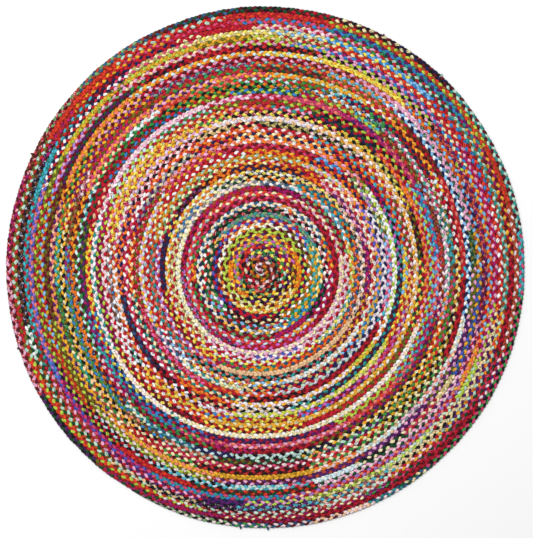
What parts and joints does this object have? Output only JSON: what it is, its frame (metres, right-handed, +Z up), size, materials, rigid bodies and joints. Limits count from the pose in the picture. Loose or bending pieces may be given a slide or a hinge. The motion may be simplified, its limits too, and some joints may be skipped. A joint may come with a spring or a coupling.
{
  "type": "braided rug",
  "caption": "Round floor rug of multicoloured rag braid, two braids coiled flat side by side from the middle outwards and laced edge to edge, with a flat underside.",
  "frame": {"origin": "on the floor, under the middle of the rug", "axes": "+Z up out of the rug's top, +Y along its slightly longer diameter"},
  "size_m": [1.4932, 1.5027, 0.009],
  "materials": {
    "rag_cotton": "matt braided cotton rags in many colours",
    "red_cotton": "matt crimson, scarlet and maroon cotton rag",
    "pink_cotton": "matt pink, rose and magenta cotton rag",
    "orange_cotton": "matt orange, salmon and rust cotton rag",
    "yellow_cotton": "matt gold, yellow and ochre cotton rag",
    "green_cotton": "matt lime, olive and dark green cotton rag",
    "blue_cotton": "matt blue, aqua and navy cotton rag",
    "purple_cotton": "matt purple and lilac cotton rag",
    "white_cotton": "matt white and cream cotton rag",
    "dark_cotton": "matt black and grey cotton rag"
  },
  "bodies": {
    "root": {"braided_rug": "rag_cotton"}
  },
  "joints": []
}
